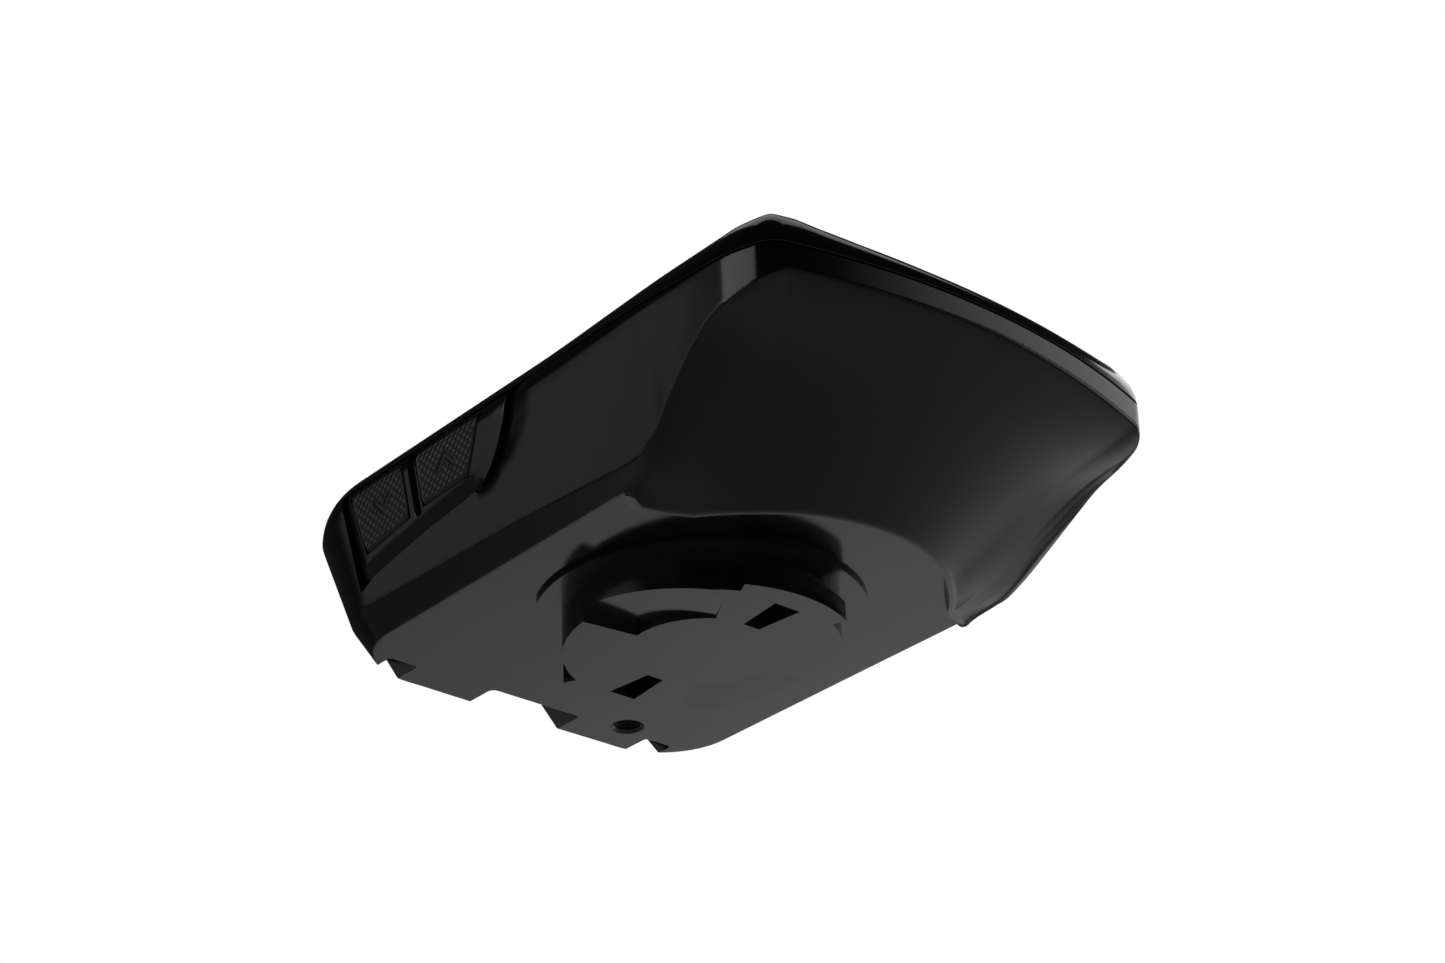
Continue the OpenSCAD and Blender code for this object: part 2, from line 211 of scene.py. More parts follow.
def plastic(name, color, rough, spread=0.05, grain=900.0, bump=0.03, depth=0.00002, mottle=0.12, coat=0.0, ior=1.5):
    """moulded plastic or rubber: fine grain in the surface, uneven gloss, faint tone change"""
    m, nt, b = new_mat(name)
    tc = nt.nodes.new("ShaderNodeTexCoord")
    big = nt.nodes.new("ShaderNodeTexNoise")
    big.inputs["Scale"].default_value = 55.0
    big.inputs["Detail"].default_value = 5.0
    fine = nt.nodes.new("ShaderNodeTexNoise")
    fine.inputs["Scale"].default_value = grain
    fine.inputs["Detail"].default_value = 3.0
    nt.links.new(tc.outputs["Object"], big.inputs["Vector"])
    nt.links.new(tc.outputs["Object"], fine.inputs["Vector"])
    ramp = nt.nodes.new("ShaderNodeValToRGB")
    ramp.color_ramp.elements[0].position = 0.3
    ramp.color_ramp.elements[1].position = 0.7
    ramp.color_ramp.elements[0].color = [c * (1 - mottle) for c in color] + [1]
    ramp.color_ramp.elements[1].color = [min(1, c * (1 + mottle)) for c in color] + [1]
    nt.links.new(big.outputs["Fac"], ramp.inputs["Fac"])
    nt.links.new(ramp.outputs["Color"], b.inputs["Base Color"])
    mr = nt.nodes.new("ShaderNodeMapRange")
    mr.inputs["From Min"].default_value = 0.3
    mr.inputs["From Max"].default_value = 0.7
    mr.inputs["To Min"].default_value = max(0.02, rough - spread)
    mr.inputs["To Max"].default_value = rough + spread
    nt.links.new(big.outputs["Fac"], mr.inputs["Value"])
    nt.links.new(mr.outputs["Result"], b.inputs["Roughness"])
    bp = nt.nodes.new("ShaderNodeBump")
    bp.inputs["Strength"].default_value = bump
    bp.inputs["Distance"].default_value = depth
    nt.links.new(fine.outputs["Fac"], bp.inputs["Height"])
    nt.links.new(bp.outputs["Normal"], b.inputs["Normal"])
    b.inputs["IOR"].default_value = ior
    b.inputs["Coat Weight"].default_value = coat
    b.inputs["Coat Roughness"].default_value = 0.1
    return m


def metal(name, color, rough=0.3, stretch=(1, 1, 30), grain=400.0):
    m, nt, b = new_mat(name)
    tc = nt.nodes.new("ShaderNodeTexCoord")
    mp = nt.nodes.new("ShaderNodeMapping")
    mp.inputs["Scale"].default_value = stretch
    no = nt.nodes.new("ShaderNodeTexNoise")
    no.inputs["Scale"].default_value = grain
    no.inputs["Detail"].default_value = 4.0
    nt.links.new(tc.outputs["Object"], mp.inputs["Vector"])
    nt.links.new(mp.outputs["Vector"], no.inputs["Vector"])
    ramp = nt.nodes.new("ShaderNodeValToRGB")
    ramp.color_ramp.elements[0].position = 0.3
    ramp.color_ramp.elements[1].position = 0.7
    ramp.color_ramp.elements[0].color = [c * 0.8 for c in color] + [1]
    ramp.color_ramp.elements[1].color = [min(1, c * 1.1) for c in color] + [1]
    nt.links.new(no.outputs["Fac"], ramp.inputs["Fac"])
    nt.links.new(ramp.outputs["Color"], b.inputs["Base Color"])
    mr = nt.nodes.new("ShaderNodeMapRange")
    mr.inputs["To Min"].default_value = rough * 0.7
    mr.inputs["To Max"].default_value = rough * 1.4
    nt.links.new(no.outputs["Fac"], mr.inputs["Value"])
    nt.links.new(mr.outputs["Result"], b.inputs["Roughness"])
    bp = nt.nodes.new("ShaderNodeBump")
    bp.inputs["Strength"].default_value = 0.15
    bp.inputs["Distance"].default_value = 0.00002
    nt.links.new(no.outputs["Fac"], bp.inputs["Height"])
    nt.links.new(bp.outputs["Normal"], b.inputs["Normal"])
    b.inputs["Metallic"].default_value = 1.0
    return m


def finish_piece(ob, mat, body, slot_name, *nodes):
    ob.data.materials.clear()
    ob.data.materials.append(mat)
    if nodes:
        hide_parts(*nodes)
    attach(ob, body)
    return ob


M_SHELL = plastic("shell_plastic", (0.0055, 0.0056, 0.006), 0.12, 0.025, 1500.0, 0.02)
M_BEZEL = plastic("bezel_plastic", (0.004, 0.004, 0.0043), 0.1, 0.02, 1500.0, 0.02)
# boss plastic: the shell's black with its base colour raised about 2.5 times; the extra lightness is painted fill light
# standing in for bounce light on the boss walls
M_BOSS_PAINTED_BOUNCE = plastic("boss_plastic", (0.014, 0.0141, 0.0145), 0.16, 0.03, 1300.0, 0.03)
M_PANEL = plastic("panel_plastic", (0.006, 0.0061, 0.0065), 0.22, 0.04, 1500.0, 0.05)
M_SIDE_BTN = plastic("side_button_plastic", (0.012, 0.0121, 0.0125), 0.34, 0.05, 1800.0, 0.08)
M_POWER_BTN = plastic("power_button_plastic", (0.012, 0.0121, 0.0125), 0.34, 0.05, 1800.0, 0.08)
M_RUBBER = plastic("button_rubber", (0.016, 0.016, 0.017), 0.55, 0.08, 2200.0, 0.2)
M_FLAP = plastic("flap_rubber", (0.013, 0.013, 0.014), 0.6, 0.08, 2200.0, 0.22)
M_INSERT = metal("insert_brass", (0.035, 0.034, 0.033), 0.38)


# ---------------------------------------------------------------- housing outline
def lerp(a, b, t):
    return a + (b - a) * t


def table(xs, rows, x):
    """smooth monotone interpolation through control rows"""
    xs = np.array(xs, float)
    rows = np.array(rows, float)
    x = min(max(x, xs[0]), xs[-1])
    i = min(int(np.searchsorted(xs, x, side="right")) - 1, len(xs) - 2)
    h = np.diff(xs)[:, None]
    d = np.diff(rows, axis=0) / h
    m = np.zeros_like(rows)
    m[0], m[-1] = d[0], d[-1]
    for k in range(1, len(xs) - 1):
        same = d[k - 1] * d[k] > 0
        m[k] = np.where(same, 2 * d[k - 1] * d[k] / np.where(same, d[k - 1] + d[k], 1), 0)
    t = (x - xs[i]) / h[i][0]
    h00, h10, h01, h11 = 2*t**3 - 3*t**2 + 1, t**3 - 2*t**2 + t, -2*t**3 + 3*t**2, t**3 - t**2
    return h00 * rows[i] + h10 * h[i][0] * m[i] + h01 * rows[i + 1] + h11 * h[i][0] * m[i + 1]


SIDE_Y = [-21.2, -10, 0, 10, 15, 17.2, 19.6, 22.1, 27.3, 28.5, 29.63]
SIDE_K = [(21.9, -20.6, 2.9), (21.85, -10, 2.5), (21.8, 0, 2.15), (21.8, 9.5, 1.5), (21.8, 14.4, 1.15),
          (21.8, 16.9, 1.0), (21.95, 19.6, 2.1), (22.5, 22.1, 4.05), (23.25, 27.2, 7.75), (23.33, 28.5, 8.45),
          (23.37, 29.6, 8.85)]
SIDE_L = [(20.2, -20.2, 0), (20.2, -10, 0), (20.2, 0, 0), (20.2, 8, 0), (20.2, 11.6, 0), (20.15, 13.2, 0),
          (19.75, 14.1, -0.45), (19.1, 14.6, -1.45), (17.2, 15.6, -1.8), (16.8, 15.85, -1.83), (16.5, 16.0, -1.85)]
EASE = math.radians(EASE_TURN)
SIN_HA = (FRONT_HALF - EASE_R + (EASE_R - FRONT_R) * math.cos(EASE)) / (NOSE_R - FRONT_R)
HA = math.degrees(math.asin(SIN_HA))
C2 = ((NOSE_R - FRONT_R) * SIN_HA, NOSE - NOSE_R + (NOSE_R - FRONT_R) * math.cos(math.radians(HA)))
C1 = (C2[0] - (EASE_R - FRONT_R) * math.cos(EASE), C2[1] - (EASE_R - FRONT_R) * math.sin(EASE))


def half_width(y):
    t = min(1.0, max(0.0, (y - 3) / 20))
    return lerp(HALF, FRONT_HALF, t * t * (3 - 2 * t))


def side_x(y, z):
    """outer surface of the side wall"""
    k = table(SIDE_Y, SIDE_K, y)
    kz = k[2] + FLOOR
    w = half_width(y)
    if z > BELT:
        q = (z - BELT) / (TOP - BELT)
        return w - SIDE_ROUND * (1 - math.sqrt(max(0.0, 1 - q * q)))
    return lerp(k[0], w, (z - kz) / (BELT - kz))


def half_columns():
    """(outline point, outward normal, knee, lower edge) from the rear centre round the right side to the nose"""
    cols = []
    for t in np.linspace(0, 1, 9)[:-1]:
        x = (HALF - REAR_R) * t
        lx = 12.7 * t
        cols.append(((x, REAR), (0, -1), (11.9 * t, -30.6, 4.0), (lx, -27.75 + 0.0006 * lx * lx, 0)))
    for t in np.linspace(0, 1, 23)[:-1]:
        a = math.radians(270 + 90 * t)
        c, s = math.cos(a), math.sin(a)
        cols.append(((HALF - REAR_R + REAR_R * c, REAR + REAR_R + REAR_R * s), (c, s),
                     (11.9 + 10 * c, -20.6 + 10 * s, lerp(4.0, 2.9, t)),
                     (12.7 + 7.5 * c, -20.2 + 7.5 * s, 0)))
    ys = list(np.linspace(REAR + REAR_R, -5, 20)) + list(np.linspace(-4.4, 6.4, 22))
    ys += list(np.linspace(7.2, 15, 9)) + list(np.linspace(15.5, 22, 20)) + list(np.linspace(22.5, C1[1], 16))
    for y in ys[:-1]:
        lean = (half_width(y + 0.1) - half_width(y - 0.1)) / 0.2
        m = math.hypot(1, lean)
        cols.append(((half_width(y), y), (1 / m, -lean / m), tuple(table(SIDE_Y, SIDE_K, y)), tuple(table(SIDE_Y, SIDE_L, y))))
    for t in np.linspace(0, 1, 9)[:-1]:
        a = EASE * t
        c, s = math.cos(a), math.sin(a)
        p = (C1[0] + EASE_R * c, C1[1] + EASE_R * s)
        cols.append((p, (c, s), (p[0] - 0.08, p[1], lerp(8.85, 9.75, t)),
                     (lerp(16.5, 15.3, t), lerp(16.0, 16.7, t), lerp(-1.85, -1.93, t))))
    for t in np.linspace(0, 1, 15)[:-1]:
        a = lerp(EASE, math.radians(90 - HA), t)
        c, s = math.cos(a), math.sin(a)
        p = (C2[0] + FRONT_R * c, C2[1] + FRONT_R * s)
        beta = math.radians(lerp(56, 40, t))
        low = (17.9 * math.sin(beta) + lerp(0.45, 0, t), 6.8 + 17.9 * math.cos(beta) - lerp(0.1, 0, t), lerp(-1.93, -2, t))
        cols.append((p, (c, s), (p[0] - 0.08 * c, p[1] - 0.08 * s, lerp(9.75, 10.75, t)), low))
    for t in np.linspace(0, 1, 25):
        a = math.radians(lerp(90 - HA, 90, t))
        p = (NOSE_R * math.cos(a), NOSE - NOSE_R + NOSE_R * math.sin(a))
        beta = math.radians(lerp(40, 0, t))
        cols.append((p, (math.cos(a), math.sin(a)), (p[0], p[1] - 0.08, lerp(10.75, 11.2, t)),
                     (17.9 * math.sin(beta), 6.8 + 17.9 * math.cos(beta), -2)))
    return cols


def all_columns():
    half = half_columns()
    out = [tuple(np.array(v, float) for v in c) for c in half]
    for p, n, k, low in half[-2:0:-1]:
        out.append((np.array([-p[0], p[1]]), np.array([-n[0], n[1]]), np.array([-k[0], k[1], k[2]]),
                    np.array([-low[0], low[1], low[2]])))
    return out


COLS = all_columns()


def seam_z(y):
    return 15.0 + FLOOR - 1.75 * min(1.0, max(0.0, (y - 8) / 25))


def shoulder(p, n, z, inset=0.0):
    """point on the rounded upper edge at height z"""
    front = lerp(11.0, 5.0, min(1.0, (p[0] / 19) ** 2))
    ez = (front if n[1] > 0 else 4.0) * n[1] ** 2 + SIDE_ROUND * n[0] ** 2
    s = min(1.0, max(0.0, (z - BELT) / (TOP - BELT)))
    d = ez * (1 - math.sqrt(max(0.0, 1 - s * s))) + inset
    return np.array([p[0] - n[0] * d, p[1] - n[1] * d, z])


NOSE_UP = np.array([0, 0.694, -0.72])       # square to the sloping nose
NOSE_DOWN = np.array([0, -0.72, -0.694])     # down the slope
NOSE_TOP = np.array([0, NOSE, 11.2 + FLOOR])


def edge_radii():
    """radius across the nose that carries it through its side edges, by distance down the slope"""
    pts = []
    for p, n, k, low in COLS[:len(COLS) // 2]:
        k = k + np.array([0, 0, FLOOR]) - NOSE_TOP
        if p[1] > 13 and p[0] > 9:
            pts.append((k @ NOSE_DOWN, k[0] ** 2 / (-2 * (k @ NOSE_UP))))
    pts.sort()
    grid = np.linspace(-8, 36, 177)
    bell = np.exp(-0.5 * (np.arange(-20, 21) * 0.25 / 0.9) ** 2)
    radii = np.interp(grid, [q[0] for q in pts], [q[1] for q in pts])
    return grid[20:-20], np.convolve(radii, bell / bell.sum(), "valid")


RADII = edge_radii()


def drum(x, s):
    """height of the rounded nose over its sloping plane"""
    return -x * x / (2 * float(np.interp(s, *RADII)))


def nose_point(k, low, t):
    a = [k[0], (k - NOSE_TOP) @ NOSE_DOWN, (k - NOSE_TOP) @ NOSE_UP]
    b = [low[0], (low - NOSE_TOP) @ NOSE_DOWN, (low - NOSE_TOP) @ NOSE_UP]
    x, s = lerp(a[0], b[0], t), lerp(a[1], b[1], t)
    h = drum(x, s) + (a[2] - drum(a[0], a[1])) * (1 - t) ** 2 + (b[2] - drum(b[0], b[1])) * t ** 1.5
    return NOSE_TOP + np.array([x, 0, 0]) + NOSE_DOWN * s + NOSE_UP * h


def knee_rows(a, k, b, r):
    """three rows that round the corner a-k-b"""
    ua = (a - k) / max(1e-6, np.linalg.norm(a - k))
    ub = (b - k) / max(1e-6, np.linalg.norm(b - k))
    pa, pb = k + ua * r, k + ub * r
    return [pa, k * 0.5 + (pa + pb) * 0.25, pb]


def rim_rows(a, k, b, r):
    """rows of a round edge between the directions k-a and k-b"""
    ua = (a - k) / max(1e-6, np.linalg.norm(a - k))
    ub = (b - k) / max(1e-6, np.linalg.norm(b - k))
    out = []
    for t in (0, 0.25, 0.5, 0.75, 1):
        out.append(k + ua * r * (1 - t) ** 2 + ub * r * t ** 2)
    return out


def dish(q):
    """depth of the finger scoop in front of the buttons on the rider's right"""
    if q[0] < 15 or not -4 < q[1] < 6 or q[2] < 11.2:
        return 0.0
    groove = float(np.interp(q[2], [11.2, 12.4, 14.0, 16.2, 18.6], [-3.2, -1.9, -0.7, 0.45, 0.9]))
    outer = float(np.interp(q[2], [11.2, 11.9, 13.6, 15.5, 17.2, 19], [-3.0, 0.9, 3.2, 4.2, 4.2, 3.6]))
    t = (outer - q[1]) / max(0.3, outer - groove)
    return 0.5 * min(1.0, max(0.0, t))


def shell_columns():
    rows = []
    for p, n, k, low in COLS:
        k = k + [0, 0, FLOOR]
        low = low + [0, 0, FLOOR]
        zs = seam_z(p[1]) - 0.06
        col = [shoulder(p, n, zs, 0.75), shoulder(p, n, zs, 0.12), shoulder(p, n, zs - 0.12, 0.0)]
        for t in (0.35, 0.7, 1.0):
            z = lerp(zs - 0.12, min(zs - 0.2, BELT), t)
            col.append(shoulder(p, n, z))
        top = col[-1].copy()
        for q in col:
            q[0] -= dish(q)
        for t in np.linspace(0, 1, 11)[1:-1]:
            q = lerp(top, k, t)
            q[0] -= dish(q)
            col.append(q)
        nxt = nose_point(k, low, 0.1) if p[1] > 17 else lerp(k, low, 0.2)
        col += knee_rows(top, k, nxt, 0.3)
        steps = 14
        for i in range(1, steps):
            t = i / steps
            q = lerp(k, low, t)
            if p[1] > 15:
                f = min(1.0, (p[1] - 15) / 4)
                q = lerp(q, nose_point(k, low, t), f * f * (3 - 2 * f))
            col.append(q)
        inward = np.array([-low[0], 3 - low[1], 0.0])
        inward /= np.linalg.norm(inward)
        lip = min(1.0, (FLOOR - low[2]) / 1.4)
        col += rim_rows(col[-1], low, low + inward, lerp(0.14, 0.36, lip))
        col.append(low + inward * 0.5)
        col.append(np.array([*(low + inward * 0.62)[:2], low[2] + 0.5 * (FLOOR - low[2])]))
        col.append(np.array([*(low + inward * 0.64)[:2], FLOOR]))
        hub = np.array([0, 0.0, FLOOR])
        edge = col[-1]
        ring = hub + (edge - hub) / np.linalg.norm(edge - hub) * 9.0
        for t in (0.3, 0.65, 1.0):
            col.append(lerp(edge, ring, t))
        rows.append(col)
    return rows


def inner_columns():
    rows = []
    for p, n, k, low in COLS:
        zs = seam_z(p[1]) - 0.06
        n3 = np.array([n[0], n[1], 0.0])
        top = shoulder(p, n, zs, 1.5)
        belt = shoulder(p, n, min(zs - 0.4, BELT), 1.5)
        kk = k + [0, 0, FLOOR + 1.0] - n3 * 1.6
        ll = np.array([low[0] * 0.86, low[1] * 0.86, FLOOR + 1.4])
        if p[1] > 17:
            kk = np.array([k[0] * 0.9, k[1] - 2.6, k[2] + FLOOR + 2.2])
        if p[1] < -20:
            kk[1] = max(kk[1], -27.0)
            ll[1] = max(ll[1], -22.4)
            kk[2] = max(kk[2], 9.4)
        rows.append([top, belt, lerp(belt, kk, 0.5), kk, ll, np.array([ll[0] * 0.4, ll[1] * 0.4, FLOOR + 1.4])])
    return rows


def bowl(name, outer, inner):
    n = len(outer)
    verts, faces = [], []
    for r in range(len(outer[0])):
        verts += [tuple(c[r]) for c in outer]
    faces += grid_faces(len(outer[0]), n, True)
    base = len(verts)
    for r in range(len(inner[0])):
        verts += [tuple(c[r]) for c in inner]
    faces += grid_faces(len(inner[0]), n, True, base)
    for i in range(n):
        j = (i + 1) % n
        faces.append((i, j, base + j, base + i))
    last_o = (len(outer[0]) - 1) * n
    last_i = base + (len(inner[0]) - 1) * n
    faces.append(tuple(last_o + i for i in range(n)))
    faces.append(tuple(last_i + i for i in range(n)))
    return mesh_object(name, verts, faces, 28)


PANEL = [(-24.2, 18.6), (0.9, 18.6), (0.45, 16.2), (-0.7, 14.0), (-1.9, 12.4), (-3.2, 11.3), (-6, 10.95), (-12, 10.35),
         (-19.6, 9.2), (-21.9, 8.3)]


def offset_outline(pts, g):
    """polygon moved out by g, mitred"""
    out = []
    n = len(pts)
    area2 = sum(pts[i - 1][0] * pts[i][1] - pts[i][0] * pts[i - 1][1] for i in range(n))
    sign = 1 if area2 > 0 else -1
    for i in range(n):
        p = np.array(pts[i], float)
        d0, d1 = p - np.array(pts[i - 1]), np.array(pts[(i + 1) % n]) - p
        d0, d1 = d0 / np.linalg.norm(d0), d1 / np.linalg.norm(d1)
        n0, n1 = np.array([d0[1], -d0[0]]) * sign, np.array([d1[1], -d1[0]]) * sign
        out.append(tuple(p + (n0 + n1) * g / (1 + float(n0 @ n1))))
    return out


LEAN = math.radians(28)
REAR_FRAME = Matrix.Translation((0, -27.9, FLOOR)) @ Matrix.Rotation(LEAN, 4, "X")


def slot_outline(cy, cz, half, r):
    return arc(cy + half, cz, r, -90, 90, 16) + arc(cy - half, cz, r, 90, 270, 16)


shell = bowl("back_shell_skin", shell_columns(), inner_columns())
cutters = [
    prism("c1", rounded([(-5.3, -40), (5.3, -40), (5.3, -24.2), (-5.3, -24.2)], 0.7), -2, FLOOR + 4.2),
    prism("c2", rounded([(13.8, -40), (17.0, -40), (17.0, -24.4), (13.8, -24.4)], 0.4), -2, FLOOR + 2.6),
    prism("c3", rounded([(-17.0, -40), (-13.8, -40), (-13.8, -24.4), (-17.0, -24.4)], 0.4), -2, FLOOR + 2.6),
    prism("c4", rounded(offset_outline(PANEL, 0.2), 0.4), 20.4, 30, "x"),
    prism("c5", slot_outline(-8, 14.4, 3, 1.9 + 0.25), -30, -19, "x"),
    prism("c6", rounded([(-6.1, 7.0), (6.1, 7.0), (6.1, 13.3), (-6.1, 13.3)], 0.5), -3, 0.95, "y", matrix=REAR_FRAME),
    prism("c11", [(-3, 5.9), (-3, 7.2), (0.6, 7.2), (0.6, 6.98)], -6.0, 6.0, "x", matrix=REAR_FRAME),
    prism("c7", rounded([(-4.6, 11.1), (4.6, 11.1), (4.6, 14.5), (-4.6, 14.5)], 0.5), -40, -28.6, "y"),
    disc("c8", -10.5, -23.3, 1.3, -1, FLOOR + 0.5, 48),
    disc("c10", -10.5, -23.3, 2.42, FLOOR + 0.32, FLOOR + 6, 48),
    disc("c9", -10.5, -23.3, 1.72, FLOOR - 0.05, FLOOR + 0.3, 48, 1.3),
]
cut(shell, cutters, angle=28)
finish_piece(shell, M_SHELL, "housing", "shell_plastic", "back_shell")


# ---------------------------------------------------------------- bezel
def window_point(dx, dy, half_w, y0, y1, r, cy=0.0):
    """point where the ray from (0, cy) along (dx, dy) meets a rounded rectangle"""
    lo_t, hi_t = 0.0, 80.0
    for _ in range(40):
        t = 0.5 * (lo_t + hi_t)
        x, y = abs(dx * t), cy + dy * t
        mid, hy = 0.5 * (y0 + y1), 0.5 * (y1 - y0)
        qx, qy = x - (half_w - r), abs(y - mid) - (hy - r)
        d = math.hypot(max(qx, 0), max(qy, 0)) + min(max(qx, qy), 0) - r
        if d < 0:
            lo_t = t
        else:
            hi_t = t
    return dx * lo_t, cy + dy * lo_t


def bezel_mesh():
    n = len(COLS)
    rows = []
    for p, nn, k, low in COLS:
        zs = seam_z(p[1]) + 0.1
        col = [shoulder(p, nn, zs, 0.75), shoulder(p, nn, zs, 0.06), shoulder(p, nn, zs + 0.05, 0.01)]
        s0 = math.asin(min(1, max(0.0, (zs + 0.12 - BELT) / (TOP - BELT))))
        for t in np.linspace(0, 1, 13)[1:]:
            z = BELT + (TOP - BELT) * math.sin(lerp(s0, math.pi / 2, t))
            if z <= zs + 0.14:
                z = zs + 0.14 + 0.01 * t
            col.append(shoulder(p, nn, z))
        edge = col[-1]
        d = np.array([edge[0], edge[1] - 1.0])
        d /= np.linalg.norm(d)
        wx, wy = window_point(d[0], d[1], 16.8 + 1.4, -21.5 - 1.4, 25 + 1.4, 3.4, 1.0)
        ix, iy = window_point(d[0], d[1], 16.8, -21.5, 25, 2.0, 1.0)
        w = np.array([wx, wy, TOP])
        for t in (0.25, 0.5, 0.75):
            col.append(lerp(edge, w, t))
        out = np.array([d[0], d[1], 0.0])
        col.append(w + out * 0.12)
        col.append(w + [0, 0, -0.1])
        col.append(np.array([wx, wy, 20.66]))
        col.append(np.array([ix, iy, 20.66]))
        col.append(np.array([ix, iy, 20.05]))
        under = shoulder(p, nn, min(zs + 0.3, 20.0), 1.9)
        col.append(np.array([lerp(ix, under[0], 0.6), lerp(iy, under[1], 0.6), 20.05]))
        col.append(np.array([under[0], under[1], max(zs + 0.5, 19.6)]))
        col.append(np.array([under[0], under[1], zs]))
        rows.append(col)
    verts = []
    m = len(rows[0])
    for r in range(m):
        verts += [tuple(c[r]) for c in rows]
    faces = grid_faces(m, n, True)
    for i in range(n):
        j = (i + 1) % n
        faces.append((i, j, (m - 1) * n + j, (m - 1) * n + i))
    return mesh_object("top_bezel_skin", verts, faces, 28)


bezel = bezel_mesh()
FACE_X = (-13, 0, 13)
FACE_Y, FACE_W, FACE_L = -28.2, 9.6, 5.6


def face_outline(x, g):
    w, l = FACE_W / 2 + g, FACE_L / 2 + g
    return rounded([(x - w, FACE_Y - l), (x + w, FACE_Y - l), (x + w, FACE_Y + l), (x - w, FACE_Y + l)], 2.2 + g, 10)


def bar_outline(g):
    return arc(13, 28.2, 0.8 + g, -90, 90, 12) + arc(-13, 28.2, 0.8 + g, 90, 270, 12)


cut(bezel, [prism("b%d" % i, face_outline(x, 0.25), 14, 30) for i, x in enumerate(FACE_X)]
    + [prism("b9", bar_outline(0.0), 14, 30)], angle=28)
finish_piece(bezel, M_BEZEL, "housing", "bezel_plastic", "top_bezel")


# ---------------------------------------------------------------- quarter-turn boss
def pie_outline(r, a0, a1, n=24, inner=None):
    """angles from +Y towards +X"""
    pts = [(r * math.sin(math.radians(a)), r * math.cos(math.radians(a))) for a in np.linspace(a0, a1, n + 1)]
    if inner is None:
        return pts + [(0, 0)]
    return pts + [(inner * math.sin(math.radians(a)), inner * math.cos(math.radians(a))) for a in np.linspace(a1, a0, n + 1)]


def ramp_cutter(name, turn):
    """sector whose flat tilted floor starts at the lower face at 31 degrees and is deepest at 97"""
    a0, a1 = math.radians(31 + turn), math.radians(97 + turn)
    start = np.array([math.sin(a0), math.cos(a0)]) * 10.3
    along = np.array([math.sin(a1), math.cos(a1)]) * 10.3 - start
    n = 36
    ring = [(16.0, lerp(a0, a1, i / n)) for i in range(n + 1)] + [(7.0, lerp(a1, a0, i / n)) for i in range(n + 1)]
    plan = [np.array([r * math.sin(a), r * math.cos(a)]) for r, a in ring]
    verts = [(q[0], q[1], -1) for q in plan]
    verts += [(q[0], q[1], 1.2 * float((q - start) @ along / (along @ along))) for q in plan]
    m = len(plan)
    faces = [tuple(range(m)), tuple(range(2 * m - 1, m - 1, -1))]
    faces += [(i, m + i, m + (i + 1) % m, (i + 1) % m) for i in range(m)]
    return mesh_object(name, verts, faces)


boss = disc("quarter_turn_boss_skin", 0, 0, 12.6, 0, FLOOR + 0.5, 144)
lugs = []
for t in (0, 180):
    lugs.append(prism("l%d" % t, pie_outline(13.9, -25.5 + t, 25.5 + t, 32), 0, 1.9))
lugs.append(prism("fl", pie_outline(15.2, -38.5, 116, 76), FLOOR - 0.45, FLOOR))
cut(boss, lugs, "UNION")
slots = []
for t in (0, 180):
    rot = Matrix.Rotation(math.radians(-t), 4, "Z")
    slots.append(prism("s%d" % t, [(-0.9, 6.6), (0.9, 6.6), (1.44, 11.4), (-1.44, 11.4)], -1, 2.2, matrix=rot))
    slots.append(ramp_cutter("r%d" % t, t))
cut(boss, slots)
bevel(boss, 0.1, 3, 28)
bm = bmesh.new()
bm.from_mesh(boss.data)
for e in bm.edges:
    if len(e.link_faces) == 2 and min(abs(f.normal.z) for f in e.link_faces) > 0.9 and e.calc_face_angle() > math.radians(3):
        e.smooth = False
bm.to_mesh(boss.data)
bm.free()
finish_piece(boss, M_BOSS_PAINTED_BOUNCE, "housing", "boss_plastic", "quarter_turn_boss")


# ---------------------------------------------------------------- side panel and buttons
OUT = HALF + 0.65  # reach of the power button on the rider's left


def quad_patch(corners, u, v):
    """bilinear point with slightly rounded corners, u and v from -1 to 1"""
    a = u * math.sqrt(1 - 0.10 * v ** 6)
    b = v * math.sqrt(1 - 0.10 * u ** 6)
    s, t = (a + 1) / 2, (b + 1) / 2
    c = [np.array(q, float) for q in corners]
    return (c[0] * (1 - s) + c[1] * s) * (1 - t) + (c[3] * (1 - s) + c[2] * s) * t


def seg_dist(p, a, b):
    a, b = np.array(a), np.array(b)
    t = max(0.0, min(1.0, float((p - a) @ (b - a) / ((b - a) @ (b - a)))))
    return float(np.linalg.norm(p - a - t * (b - a)))


